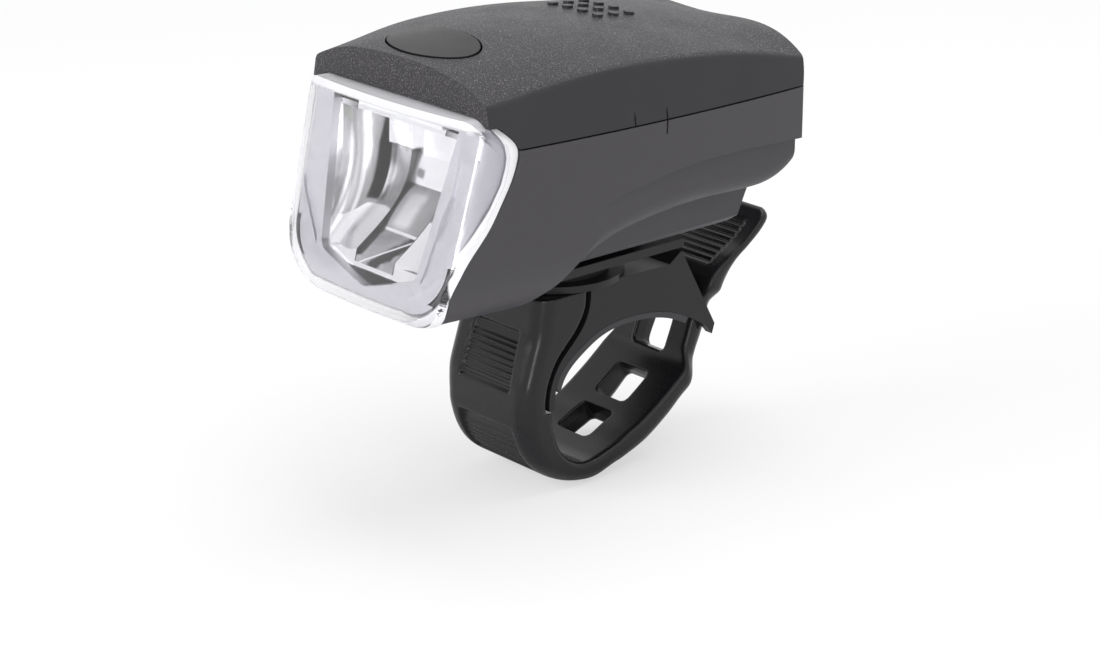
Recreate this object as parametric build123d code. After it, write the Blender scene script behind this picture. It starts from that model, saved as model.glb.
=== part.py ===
from build123d import *
import math
import os

# Battery bike headlight on a rubber-strap bracket.
# Row frame: origin on the axis of the handlebar under the saddle, +X to the lamp's side,
# the beam leaves towards -Y, +Z up. All lengths are millimetres.

# Fits and overruns
clearance = 0.3
running_gap = 0.25
seam_gap = 0.15
overrun = 60.0

# Handlebar and the stack of heights above its axis
bar_radius = 17.5
liner_thickness = 0.9
bracket_rise = 6.6
boss_height = 2.5
plate_thickness = 1.3
plate_gap = 1.6
washer_thickness = 0.7
washer_gap = 0.1
lamp_rise = 20.4
saddle_crown = bar_radius + liner_thickness
bracket_top = saddle_crown + bracket_rise
boss_top = bracket_top + boss_height
plate_bottom = boss_top + washer_thickness + washer_gap
plate_top = plate_bottom + plate_thickness
foot_bottom = plate_top + plate_gap
seam_height = foot_bottom + lamp_rise

# Battery cells and the room around them
cell_radius = 5.2
cell_length = 44.5
cell_gap = 0.5
cell_front = -24.9
cell_drop = 1.2
cell_nub_radius = 1.9
cell_nub_length = 0.8
spring_room = 1.1
side_room = 6.1
wall = 1.8
cell_pitch = 2 * cell_radius + cell_gap
cell_height = seam_height - cell_drop
cavity_rear = cell_front + cell_length + spring_room

# Lamp body
body_front = -34.5
body_half = cell_pitch + cell_radius + side_room
bow = 5.33
bow_centre = 5.0
head_depth = 25.1
head_draft = 1.1
head_corner = 9.5
rear_corner = 2.2
cover_height = 11.6
cover_edge = 1.4
visor_front = -34.8
visor_side = 3.3
visor_gap = 0.2
body_rear = cavity_rear + wall
body_length = body_rear - body_front
head_bottom = seam_height - head_depth

# Side panel, foot and rail slot of the lower housing
panel_front_depth = 1.3
panel_rear_depth = 1.5
panel_front_half = body_half - panel_front_depth
panel_rear_half = body_half - panel_rear_depth
panel_corner = 2.8
cavity_inset = 3.0
foot_half = 15.0
foot_edge = 0.8
rail_neck_half = 4.6
rail_head_half = 7.3
rail_neck_height = 3.7
rail_head_height = 1.4
rail_front = -14.6
rail_rear = 6.2
rail_neck_top = plate_top + rail_neck_height
rail_top = rail_neck_top + rail_head_height

# Battery tray, contacts and boards
contact_thickness = 0.4
contact_reach = 3.6
spring_radius = 2.6
tray_margin = 0.5
tray_floor = 1.0
tray_rim = 0.4
board_thickness = 1.2
board_inset = 1.6
board_space = 3.2
board_rise = 1.4
board_start = 5.4
board_short = 7.5
contact_half = cell_pitch + contact_reach
tray_half = cell_pitch + cell_radius + tray_margin
tray_bottom = cell_height - cell_radius - tray_floor
tray_top = cell_height - tray_rim
board_half = tray_half - board_inset
board_length = cell_length - board_short
board_front = cell_front + board_start
board_bottom = tray_bottom - board_space
floor_height = board_bottom - board_rise
chip_height = 1.4
chip_side = 6.0
post_radius = 1.8
screw_radius = 1.0
screw_head_radius = 2.0
screw_head_height = 1.2
screw_length = 2.4
screw_slack = 0.05
leg_radius = 0.7
leg_x = tray_half - leg_radius

# Lens and bezel
lens_wall = 1.3
lens_lean = 14.7
lens_top = 4.1
lens_nose = 1.2
lens_bow = 1.7
lens_top_corner = 4.2
lens_edge = 4.2
lens_crown = 2.6
lens_dome_corner = 5.4
gasket_inset = 1.0
gasket_width = 1.2
gasket_depth = 1.2
bezel_gap = 0.2
bezel_thickness = 1.3
bezel_skirt = 1.0
bezel_panel_depth = 0.35
mouth_top_side = 8.8
mouth_low_side = 11.9
mouth_low_drop = 18.6
mouth_bottom_drop = 21.7
mouth_top_rise = 1.9
mouth_top_half = body_half - mouth_top_side
mouth_low_half = body_half - mouth_low_side
mouth_low = seam_height - mouth_low_drop
mouth_bottom = seam_height - mouth_bottom_drop
mouth_top = seam_height + mouth_top_rise

# Reflector and light engine
reflector_inset = 3.4
reflector_space = 1.7
reflector_rise = 1.0
reflector_back = cell_front - reflector_space
reflector_top = seam_height + reflector_rise
channel_half = 4.1
led_half_x = 4.0
led_half_y = 1.6
led_height = 0.8
led_y = -30.4
led_board_half = 9.0
led_board_front = -34.0
led_board_rear = -27.2
led_board_thickness = 0.8
sink_front = -31.9
sink_rear = -27.4
sink_thickness = 1.2
sink_groove = 0.8
sink_grooves = 6

# Power button and its switch
button_y = -28.66
button_half = 8.3
button_short = 4.65
button_gap = 0.3
button_travel = 0.6
button_tilt = 8.0
button_thickness = 1.0
button_proud = 0.15
button_slack = 0.05
seal_thickness = 0.6
stem_radius = 1.6
switch_board_half = 8.5
switch_board_length = 10.5
switch_board_space = 0.9
switch_board_bottom = cell_height + cell_radius + switch_board_space
switch_board_thickness = 0.9
switch_side = 5.2
switch_height = 1.4
plunger_radius = 1.2
plunger_height = 0.4

# Grip dots and side marks
dot_radius = 0.78
dot_height = 0.42
dot_pitch_x = 3.15
dot_pitch_y = 2.98
dot_columns = 4
dot_rows = 3
dot_y = 0.1
mark_width = 0.28
mark_depth = 0.4
mark_height = 1.9
cover_travel = 5.7
mark_y = -5.6

# Bracket
bracket_half = 9.3
cheek = 1.4
swivel_y = -6.8
flange_radius = 10.2
flange_height = 1.0
boss_radius = 8.0
plate_half = 12.5
plate_front = -21.0
plate_rear = 7.2
plate_corner = 5.0
pivot_radius = 1.5
pivot_length = 6.0
pivot_head_radius = 2.8
pivot_head_height = 1.7
pivot_seat = 1.0
peg_half = 2.6
peg_bottom = 15.2
peg_top = 17.8
peg_root = 13.0
peg_tip = 21.0
pin_radius = 1.2
pin_length = 16.0
pin_y = -11.2
pin_z = 21.4
tongue_half = 5.0
washer_radius = 7.5

# Strap
strap_half = 9.3
strap_narrow_half = 7.6
narrow_low = 10.5
narrow_high = 17.8
window_half = 3.15
window_length = 6.3


def plan_half(y, inset=0.0):
    """Half the lamp's width at the seam, the same ahead of the visor."""
    return body_half - bow * ((max(y, body_front) - bow_centre) / body_length) ** 2 - inset


def along(share):
    """A place along the lamp, 0 at the visor and 1 at the rear end."""
    return body_front + share * body_length


def behind(share):
    """A place behind the head's front edge, as a share of the head's depth below the seam."""
    return body_front + share * head_depth


def below(share):
    """A height below the seam, 1 at the chin."""
    return seam_height - share * head_depth


def above(share):
    """A height above the seam, 1 at the cover's crown."""
    return seam_height + share * cover_height


def side_prism(points, half_width):
    """A solid with a side outline of (y, z) points, as wide as twice half_width."""
    return extrude(Plane.YZ * make_face(Polyline(*points, close=True)), amount=half_width, both=True)


def smooth_prism(curves, half_width):
    """The same for an outline of curves drawn in (y, z)."""
    return extrude(Plane.YZ * make_face(Curve() + curves), amount=half_width, both=True)


def block(x_range, y_range, z_range):
    """A box between three pairs of limits."""
    ranges = (x_range, y_range, z_range)
    size = [high - low for low, high in ranges]
    middle = [(high + low) / 2 for low, high in ranges]
    return Pos(*middle) * Box(*size)


def rod_x(radius, length, y, z):
    """A rod across the lamp, centred on its middle."""
    return Pos(0, y, z) * Rot(0, 90, 0) * Cylinder(radius, length)


def rod_y(radius, y_range, x, z):
    """A rod along the lamp."""
    length = y_range[1] - y_range[0]
    return Pos(x, (y_range[0] + y_range[1]) / 2, z) * Rot(90, 0, 0) * Cylinder(radius, length)


def rod_z(radius, z_range, x, y):
    """An upright rod."""
    length = z_range[1] - z_range[0]
    return Pos(x, y, (z_range[0] + z_range[1]) / 2) * Cylinder(radius, length)


def single(shape):
    """The largest solid of a shape, for a piece that is one solid."""
    return max(shape.solids(), key=lambda solid: solid.volume)


# Outline of the lens rim seen from the side, top to bottom, as shares behind and below
rim_shares = [
    (0.0238, -0.160), (0.0877, -0.096), (0.1594, 0.004), (0.1515, 0.084), (0.1115, 0.187),
    (0.0559, 0.283), (-0.0218, 0.406), (-0.1195, 0.518), (-0.1992, 0.641), (-0.2391, 0.761),
    (-0.2312, 0.861), (-0.2032, 0.960), (-0.1953, 1.040),
]


def behind_rim(gap):
    """All that lies behind the lens rim by a gap."""
    points = [(behind(y) + gap, below(z)) for y, z in rim_shares]
    top = seam_height + overrun
    bottom = head_bottom - overrun
    low_front = (points[-1][0], bottom)
    high_front = (points[0][0], top)
    frame = Polyline(points[-1], low_front, (overrun, bottom), (overrun, top), high_front, points[0])
    return smooth_prism([Spline(*points), frame], overrun)


def head_outline(y, inset, top, top_corner=0.0):
    """The U-shaped outline of the head in (x, z) at a place along the lamp."""
    low = head_bottom + inset
    lean = head_draft / head_depth
    half = plan_half(y, inset) + lean * (top - seam_height)
    low_half = plan_half(y, inset) - lean * (seam_height - low)
    corners = [(-half, top), (half, top), (low_half, low), (-low_half, low)]
    face = make_face(Polyline(*corners, close=True))
    low_corners = face.vertices().sort_by(Axis.Y)[0:2]
    face = fillet(low_corners, head_corner - inset)
    if top_corner:
        face = fillet(face.vertices().sort_by(Axis.Y)[-2:], top_corner)
    return face


def head_prism(inset, top, top_corner=0.0):
    """The front outline drawn out along Y, past both ends of the head."""
    face = Plane.XZ * head_outline(body_front, inset, top, top_corner)
    return extrude(face, amount=overrun, both=True)


def lens_front(offset):
    """All that lies behind the lens's leaning front face, moved back by an offset."""
    lean = math.tan(math.radians(lens_lean))
    top = seam_height + lens_top
    high = top + overrun
    low = head_bottom - overrun
    front = body_front - lens_nose + offset
    high_front = (front + lean * (high - top), high)
    low_front = (front + lean * (low - top), low)
    return side_prism([high_front, low_front, (overrun, low), (overrun, high)], overrun)


def lens_front_y(z, offset):
    """The place of the lens's leaning front face at a height, moved back by an offset."""
    lean = math.tan(math.radians(lens_lean))
    return body_front - lens_nose + offset + lean * (z - seam_height - lens_top)


def lens_bulge(offset):
    """All that lies behind the lens's bowed front face, which meets the leaning plane at its sides."""
    radius = (body_half ** 2 + lens_bow ** 2) / (2 * lens_bow)
    front = lens_front_y(seam_height, 0.0) - lens_bow / math.cos(math.radians(lens_lean))
    tower = Pos(0, radius, 0) * Cylinder(radius - offset, 2 * overrun)
    return Pos(0, front, seam_height) * Rot(-lens_lean, 0, 0) * tower


def lens_body(inset, edge):
    """The lens's outside, or its inside for an inset: a U-shaped dome with a round edge."""
    top = seam_height + lens_top - inset
    dome = head_prism(inset, top + lens_crown, lens_dome_corner - inset) & lens_bulge(inset)
    dome = fillet(dome.faces().sort_by(Axis.Y)[0].edges(), edge)
    return dome & head_prism(inset, top, lens_top_corner - inset)


def make_lens_cover():
    outside = lens_body(0.0, lens_edge)
    inside = lens_body(lens_wall, lens_edge - lens_wall)
    return single(outside - inside - behind_rim(0.0))


def make_lens_gasket():
    """The rubber ring in the groove of the housing's front edge, behind the lens rim."""
    outer = head_prism(gasket_inset, seam_height - clearance)
    inner = head_prism(gasket_inset + gasket_width, seam_height + overrun)
    return single((outer - inner) & (behind_rim(0.0) - behind_rim(gasket_depth)))


# Bottom of the lower housing seen from the side, chin to rear end, as shares along and below
bottom_shares = [
    (-0.0860, 1.000), (0.1228, 1.004), (0.1754, 0.880), (0.2544, 0.741), (0.3860, 0.622),
    (0.5351, 0.574), (0.6930, 0.558), (1.0, 0.550),
]
# The same for the hollow inside
hollow_shares = [
    (-0.1400, 0.928), (0.1090, 0.928), (0.1490, 0.833), (0.2316, 0.673), (0.3737, 0.546),
    (0.4800, 0.498),
]
# Lower edge of the wide band under the seam, front to rear
crease_shares = [
    (0.184, 0.64), (0.3105, 0.438), (0.3807, 0.371), (0.5228, 0.313), (0.6333, 0.287),
    (0.7825, 0.287), (0.9772, 0.311), (1.2, 0.33),
]


def hull_loft(inset, top):
    """The housing's U-shaped outline carried along the lamp, wider in the middle."""
    stations = [along(share) for share in (-0.25, 0.0, 0.2, 0.45, 0.7, 1.0, 1.1)]
    faces = [Plane.XZ.offset(-y) * head_outline(y, inset, top) for y in stations]
    return loft(faces)


# Bottom of the set-back sides, front to rear end, as shares along and below
panel_low_shares = [
    (0.10, 0.990), (0.1754, 0.884), (0.2544, 0.745), (0.3860, 0.626), (0.5351, 0.577),
    (0.6930, 0.561), (0.92, 0.552), (0.9754, 0.49),
]


def panel_outline(share, low_share):
    """The set-back sides' cross-section, with round lower edges."""
    half = panel_front_half + (panel_rear_half - panel_front_half) * share
    low = below(low_share)
    corners = [(-half, seam_height), (half, seam_height), (half, low), (-half, low)]
    face = make_face(Polyline(*corners, close=True))
    return Plane.XZ.offset(-along(share)) * fillet(face.vertices().sort_by(Axis.Y)[0:2], panel_corner)


def side_panel_cut():
    """What is cut away to set the side panel and the rear end under the band in."""
    line = [(along(y), below(z)) for y, z in crease_shares]
    low = head_bottom - overrun
    zone = side_prism(line + [(line[-1][0], low), (line[0][0], low)], overrun)
    return zone - loft([panel_outline(share, low_share) for share, low_share in panel_low_shares])


def foot_prism():
    """The foot under the housing that slides on the rail plate."""
    points = [(along(0.25), below(0.70)), (along(0.28), foot_bottom), (along(0.870), foot_bottom),
              (along(0.909), below(0.63)), (along(0.909), below(0.50)), (along(0.30), below(0.50))]
    foot = side_prism(points, foot_half)
    low_edges = foot.faces().sort_by(Axis.Z)[0].edges()
    return chamfer(low_edges, foot_edge)


def rail_slot():
    """The T-shaped slot in the foot, open at the rear."""
    front = rail_front - clearance
    head_low = rail_neck_top - clearance
    head_high = rail_top + clearance
    neck = block((-rail_neck_half - clearance, rail_neck_half + clearance), (front, overrun),
                 (plate_top, head_high))
    head = block((-rail_head_half - clearance, rail_head_half + clearance), (front, overrun),
                 (head_low, head_high))
    return neck + head


def screw_places():
    """Where the four screws hold the board down, as (x, y)."""
    x = board_half - screw_head_radius
    front = board_front + screw_head_radius
    rear = board_front + board_length - screw_head_radius
    return [(-x, front), (x, front), (-x, rear), (x, rear)]


def side_marks(y, z_range):
    """A pair of fine grooves, one on each side, at a place along the lamp."""
    marks = []
    for side in (-1, 1):
        middle = side * plan_half(y)
        reach = (middle - mark_depth, middle + mark_depth)
        marks.append(block(reach, (y - mark_width / 2, y + mark_width / 2), z_range))
    return Part() + marks


def make_lower_housing():
    top = seam_height - running_gap / 2
    bottom = [(along(y), below(z)) for y, z in bottom_shares]
    front = bottom[0][0] - overrun
    profile = [(front, bottom[0][1])] + bottom + [(body_rear, top), (front, top)]
    hull = hull_loft(0.0, top) & side_prism(profile, overrun) & plan_trim()
    hull = single(hull) - side_panel_cut()
    hull = hull + foot_prism()
    hollow = [(along(y), below(z)) for y, z in hollow_shares]
    inner = [(hollow[0][0] - overrun, hollow[0][1])] + hollow
    inner += [(along(0.50), floor_height), (cavity_rear, floor_height)]
    inner += [(cavity_rear, top + clearance), (hollow[0][0] - overrun, top + clearance)]
    cavity = hull_loft(cavity_inset, top + overrun) & side_prism(inner, overrun)
    head_room = head_prism(cavity_inset, top + overrun) & side_prism(inner, overrun)
    head_room = head_room & block((-overrun, overrun), (-overrun, body_front), (head_bottom, top + wall))
    body = hull - cavity - head_room - rail_slot()
    body = body & behind_rim(seam_gap)
    inner_ring = head_prism(gasket_inset + gasket_width, top + 2 * overrun)
    ring = head_prism(gasket_inset, top + overrun) - inner_ring
    groove = ring & (behind_rim(0.0) - behind_rim(gasket_depth))
    body = body - groove - side_marks(mark_y, (top - mark_height, top + overrun))
    posts = [rod_z(post_radius, (floor_height - seam_gap, board_bottom), x, y) for x, y in screw_places()]
    holes = [rod_z(screw_radius, (floor_height, board_bottom + overrun), x, y) for x, y in screw_places()]
    return single(body + posts - holes)


# Cover stations: share along, half at the edge, edge height, shoulder x and height, crown height
cover_stations = [
    (-0.020, 0.826, 0.545, 0.535, 0.735, 0.820),
    (0.149, 0.862, 0.638, 0.565, 0.836, 0.948),
    (0.3596, 0.901, 0.716, 0.585, 0.888, 1.000),
    (0.6053, 0.914, 0.664, 0.563, 0.828, 0.931),
    (0.8158, 0.928, 0.539, 0.563, 0.707, 0.810),
    (0.9912, 0.928, 0.336, 0.676, 0.578, 0.612),
    (1.050, 0.926, 0.27, 0.70, 0.52, 0.54),
]


def cover_outline(station, inset):
    """The cover's cross-section in (x, z) at one station."""
    share, edge_share, edge_z, shoulder_share, shoulder_z, crown_z = station
    y = along(share)
    half = plan_half(y, inset)
    edge = body_half * edge_share - inset
    shoulder = body_half * shoulder_share
    low = seam_height + running_gap / 2 - inset
    edge_high = above(edge_z) - inset
    shoulder_high = above(shoulder_z) - inset
    crown_high = above(crown_z) - inset
    side = Polyline((-edge, edge_high), (-half, low), (half, low), (edge, edge_high))
    crown = Spline((edge, edge_high), (shoulder, shoulder_high), (0, crown_high),
                   (-shoulder, shoulder_high), (-edge, edge_high))
    face = make_face(Curve() + [side, crown])
    corners = [v for v in face.vertices() if v.Y > low + cover_edge]
    return Plane.XZ.offset(-y) * fillet(corners, cover_edge)


def cover_loft(inset):
    return loft([cover_outline(station, inset) for station in cover_stations])


def plan_trim():
    """Rounds the rear corners of the hull and the cover, seen from above."""
    shares = (-0.3, 0.0, 0.3, 0.6, 1.0)
    right = [(plan_half(along(share), -seam_gap), along(share)) for share in shares]
    left = [(-x, y) for x, y in reversed(right)]
    outline = Curve() + [Spline(*right), Line(right[-1], left[0]), Spline(*left), Line(left[-1], right[0])]
    face = make_face(outline)
    face = fillet(face.vertices().sort_by(Axis.Y)[-2:], rear_corner)
    return Pos(0, 0, seam_height) * extrude(face, amount=overrun, both=True)


def tilted(offset=0.0):
    """The frame of the power button, which leans with the cover."""
    crown = seam_height + cover_height - button_thickness
    place = Pos(0, button_y, crown) * Rot(button_tilt, 0, 0)
    return place * Pos(0, 0, offset)


def button_prism(growth):
    """The button's oval drawn out along its own axis."""
    oval = make_face(Ellipse(button_half + growth, button_short + growth).edges())
    return tilted() * extrude(oval, amount=cover_height, both=True)


def grip_dots():
    """Twelve raised dots on the crown, in three rows."""
    dots = []
    for column in range(dot_columns):
        for row in range(dot_rows):
            x = (column - (dot_columns - 1) / 2) * dot_pitch_x
            y = dot_y + (row - (dot_rows - 1) / 2) * dot_pitch_y
            dots.append(rod_z(dot_radius, (seam_height, above(1.5)), x, y))
    return Part() + dots


def make_top_cover():
    shell_range = block((-overrun, overrun), (visor_front, body_rear), (seam_height, above(2)))
    outer = cover_loft(0.0) & shell_range & plan_trim()
    low = seam_height - wall
    inner_range = block((-overrun, overrun), (visor_front + wall, cavity_rear), (low, above(2)))
    inner = cover_loft(wall) & inner_range
    raised = cover_loft(-dot_height) & grip_dots()
    shell = outer + raised - inner
    ahead = block((-overrun, overrun), (-overrun, overrun), (low, seam_height + visor_side))
    shell = shell - (ahead + lens_body(-visor_gap, lens_edge) - behind_rim(seam_gap))
    shell = shell - button_prism(button_gap)
    shell = shell - side_marks(mark_y, (low, seam_height + mark_height))
    shell = shell - side_marks(mark_y - cover_travel, (low, seam_height + mark_height))
    posts = []
    for side in (-1, 1):
        place = switch_board_front() + switch_board_length - screw_radius
        x = side * (switch_board_half - screw_radius)
        posts.append(rod_z(screw_radius, (switch_board_top(), above(1.5)), x, place))
    posts = (Part() + posts) & cover_loft(wall / 2)
    return single(shell + (posts - button_prism(button_gap)))


def switch_board_front():
    return visor_front + wall


def switch_board_top():
    return switch_board_bottom + switch_board_thickness


def make_power_button():
    oval = button_prism(0.0) & (cover_loft(-button_proud) - cover_loft(button_thickness))
    stem_low = switch_board_top() + switch_height + plunger_height + button_travel + button_slack
    stem = rod_z(stem_radius, (stem_low, above(1)), 0, button_y) & cover_loft(button_thickness / 2)
    return single(oval + stem)


def make_button_membrane():
    """The thin rubber seal that lines the cover under the button."""
    behind_visor = block((-overrun, overrun), (visor_front + wall, overrun), (seam_height, above(2)))
    layer = button_prism(wall / 2) & (cover_loft(wall) - cover_loft(wall + seal_thickness))
    layer = layer & behind_visor
    return single(layer - rod_z(stem_radius + clearance, (seam_height, above(2)), 0, button_y))


def make_switch_board():
    front = switch_board_front()
    return block((-switch_board_half, switch_board_half), (front, front + switch_board_length),
                 (switch_board_bottom, switch_board_top()))


def make_tact_switch():
    half = switch_side / 2
    top = switch_board_top() + switch_height
    case = block((-half, half), (button_y - half, button_y + half), (switch_board_top(), top))
    return case + rod_z(plunger_radius, (top, top + plunger_height), 0, button_y)


# Side panel of the bezel: share of the head's half-width, share below the seam
panel_shares = [
    (0.7179, 0.0677), (0.9470, 0.0319), (0.9776, 0.0518), (0.9623, 0.2231), (0.8299, 0.4582),
    (0.6212, 0.6932), (0.5804, 0.7410), (0.6415, 0.5060), (0.7026, 0.2550),
]


def make_bezel():
    """The bright frame behind the lens, with a set-back panel on each side."""
    inset = lens_wall + bezel_gap
    front = lens_front(inset)
    back = lens_front(inset + bezel_thickness)
    top = seam_height + lens_top - inset
    plate = head_prism(inset, top, lens_top_corner - inset) & (front - back)
    inner = inset + bezel_skirt
    skirt = head_prism(inset, top, lens_top_corner - inset)
    skirt = skirt - head_prism(inner, top - bezel_skirt, lens_top_corner - inner)
    skirt = (skirt & back) - behind_rim(-bezel_gap)
    inside_housing = head_prism(cavity_inset + bezel_gap, top)
    body = fillet_front(plate + skirt, inset) - (behind_rim(-bezel_gap) - inside_housing)
    mouth = make_face(Polyline((-mouth_top_half, mouth_top), (mouth_top_half, mouth_top),
                               (mouth_low_half, mouth_low), (0, mouth_bottom),
                               (-mouth_low_half, mouth_low), close=True))
    mouth = fillet(mouth.vertices().sort_by(Axis.Y)[0:3], wall)
    body = body - extrude(Plane.XZ * mouth, amount=overrun, both=True)
    return single(body - side_panels(inset))


def fillet_front(body, inset):
    """Keeps a lens lining inside the lens's rounded front edge."""
    return body & lens_body(inset, lens_edge - lens_wall)


def side_panels(inset):
    """The shallow panels beside the mouth, as a tool to cut the bezel."""
    half = plan_half(body_front)
    panels = []
    for side in (-1, 1):
        outline = [(side * x * half, below(z)) for x, z in panel_shares]
        face = make_face(Polyline(*outline, close=True))
        panels.append(extrude(Plane.XZ * face, amount=overrun, both=True))
    return (Part() + panels) - lens_front(inset + bezel_panel_depth)


# Centre channel of the mirror seen from the side, bottom front to top rear, as shares behind and below
channel_shares = [
    (-0.2391, 0.7849), (0.0041, 0.6215), (0.2112, 0.4024), (0.2630, 0.2390), (0.2750, 0.0000),
]
# Mirror bowl: share below the seam, share of the head's half-width at its mouth, share behind of its back
bowl_shares = [
    (0.7251, 0.5295, -0.1953), (0.6016, 0.5652, -0.0120), (0.4024, 0.6059, 0.1792),
    (0.2231, 0.6415, 0.2312), (-0.0120, 0.6925, 0.2430),
]


def bowl_outline(section):
    """The bowl's level section: open at its mouth, round at its sides, flat at its back."""
    z_share, half_share, back_share = section
    z = below(z_share)
    half = half_share * plan_half(body_front)
    back = behind(back_share)
    front = lens_front_y(z, lens_wall + bezel_gap)
    depth = back - front
    rear_y = back - 0.02 * depth
    lip = front + 0.3 * depth
    side = [(half, lip), (half - 0.10 * depth, front + 0.65 * depth), (channel_half, rear_y)]
    right = Spline(*side)
    rear = Line((channel_half, rear_y), (-channel_half, rear_y))
    left = Spline(*[(-x, y) for x, y in reversed(side)])
    mouth = Polyline((-half, lip), (-half, front - overrun), (half, front - overrun), (half, lip))
    return Plane.XY.offset(z) * make_face(Curve() + [right, rear, left, mouth])


def make_reflector():
    """The mirror: a bowl with a faceted centre channel below its aperture."""
    front = lens_wall + bezel_gap + bezel_thickness
    block_range = block((-overrun, overrun), (-overrun, reflector_back), (head_bottom, reflector_top))
    low = head_bottom + reflector_inset
    cut = [(reflector_back - 2 * wall, low), (reflector_back, low + 2 * wall), (reflector_back, low)]
    body = head_prism(reflector_inset, reflector_top) & lens_front(front) & block_range
    body = body - side_prism(cut, overrun)
    bowl = loft([bowl_outline(section) for section in bowl_shares])
    points = [(behind(y), below(z)) for y, z in channel_shares]
    low = [(points[0][0] - overrun, points[0][1])]
    high = [(points[0][0] - overrun, points[-1][1])]
    channel = side_prism(low + points + high, channel_half)
    aperture = block((-led_half_x, led_half_x), (led_y - led_half_y, led_y + led_half_y),
                     (points[-1][1] - seam_gap, reflector_top + seam_gap))
    return single(body - bowl - channel - aperture)


def make_led_board():
    return block((-led_board_half, led_board_half), (led_board_front, led_board_rear),
                 (reflector_top, reflector_top + led_board_thickness))


def make_led_emitter():
    half_x = led_half_x - clearance
    half_y = led_half_y - clearance
    low = reflector_top - led_height
    return block((-half_x, half_x), (led_y - half_y, led_y + half_y), (low, reflector_top))


def make_heat_sink():
    low = reflector_top + led_board_thickness
    plate = block((-led_board_half, led_board_half), (sink_front, sink_rear), (low, low + sink_thickness))
    pitch = 2 * led_board_half / (sink_grooves + 1)
    grooves = []
    for index in range(sink_grooves):
        x = -led_board_half + (index + 1) * pitch
        across = (x - sink_groove / 2, x + sink_groove / 2)
        upper = (low + sink_thickness / 2, low + 2 * sink_thickness)
        grooves.append(block(across, (sink_front - wall, sink_rear + wall), upper))
    return plate - grooves


def cell_places():
    return [(index - 1) * cell_pitch for index in range(3)]


def make_battery_cell(x):
    can = rod_y(cell_radius, (cell_front + cell_nub_length, cell_front + cell_length), x, cell_height)
    rims = can.edges().filter_by(GeomType.CIRCLE)
    can = fillet(rims, cell_nub_length / 2)
    nub_rear = cell_front + cell_nub_length + screw_slack
    return can + rod_y(cell_nub_radius, (cell_front, nub_rear), x, cell_height)


def make_battery_tray():
    rear = cavity_rear - contact_thickness
    front = cell_front - contact_thickness
    body = block((-tray_half, tray_half), (reflector_back, rear), (tray_bottom, tray_top))
    wall_top = cell_height + cell_radius / 2
    body = body + block((-tray_half, tray_half), (reflector_back, front), (tray_bottom, wall_top))
    bores = [rod_y(cell_radius + screw_slack, (front, rear + wall), x, cell_height) for x in cell_places()]
    legs = []
    for x in (-leg_x, leg_x):
        for y in (board_front + 2 * wall, board_front + board_length):
            legs.append(rod_z(leg_radius, (floor_height, tray_bottom + screw_slack), x, y))
    slot = (tray_bottom + wall, tray_top + wall)
    contact = block((-contact_half, contact_half), (front, cell_front), slot)
    return single(body - bores - contact + legs)


def make_front_contacts():
    front = cell_front - contact_thickness
    low = tray_bottom + wall
    return block((-contact_half, contact_half), (front, cell_front), (low, cell_height + cell_radius / 2))


def make_rear_springs():
    rear = cavity_rear - contact_thickness
    low = cell_height - cell_radius / 2
    strip = block((-contact_half, contact_half), (rear, cavity_rear), (low, cell_height + cell_radius / 2))
    springs = []
    for x in cell_places():
        end = cell_front + cell_length
        ring = rod_y(spring_radius, (end, rear + screw_slack), x, cell_height)
        springs.append(ring - rod_y(spring_radius - contact_thickness, (end - wall, rear), x, cell_height))
    return strip + springs


def make_main_board():
    top = board_bottom + board_thickness
    board = block((-board_half, board_half), (board_front, board_front + board_length), (board_bottom, top))
    chips = []
    for share_x, share_y in ((-0.35, 0.25), (0.30, 0.40), (-0.10, 0.65), (0.25, 0.80)):
        x = share_x * board_half
        y = board_front + share_y * board_length
        chips.append(block((x, x + chip_side), (y, y + chip_side), (top, top + chip_height)))
    hole_radius = screw_radius + screw_slack
    holes = [rod_z(hole_radius, (board_bottom - wall, top + wall), x, y) for x, y in screw_places()]
    return single(board + chips - holes)


def make_housing_screws():
    top = board_bottom + board_thickness
    screws = []
    for x, y in screw_places():
        shank = rod_z(screw_radius - screw_slack, (top - screw_length, top + screw_slack), x, y)
        head = rod_z(screw_head_radius, (top, top + screw_head_height), x, y)
        screws.append(shank + head)
    return Compound(children=[single(screw) for screw in screws])


def make_rail_plate():
    face = make_face(Polyline((-plate_half, plate_front), (plate_half, plate_front),
                              (plate_half, plate_rear), (-plate_half, plate_rear), close=True))
    face = fillet(face.vertices().sort_by(Axis.Y)[0:2], plate_corner)
    plate = Pos(0, 0, plate_bottom) * extrude(face, amount=plate_thickness)
    low = plate_top - screw_slack
    neck = block((-rail_neck_half, rail_neck_half), (rail_front, rail_rear), (low, rail_top))
    head = block((-rail_head_half, rail_head_half), (rail_front, rail_rear), (rail_neck_top, rail_top))
    bore = rod_z(pivot_radius + clearance, (plate_bottom - wall, rail_top), 0, swivel_y)
    sink = rod_z(pivot_head_radius + clearance, (plate_top + pivot_seat, rail_top + wall), 0, swivel_y)
    return single(plate + neck + head - bore - sink)


def make_swivel_washer():
    disc = rod_z(washer_radius, (plate_bottom - washer_thickness, plate_bottom), 0, swivel_y)
    return disc - rod_z(pivot_radius + clearance, (bracket_top, plate_top), 0, swivel_y)


def make_swivel_screw():
    seat = plate_top + pivot_seat + washer_gap
    shank = rod_z(pivot_radius, (seat - pivot_length, seat + screw_slack), 0, swivel_y)
    return shank + rod_z(pivot_head_radius, (seat, seat + pivot_head_height), 0, swivel_y)


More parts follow.
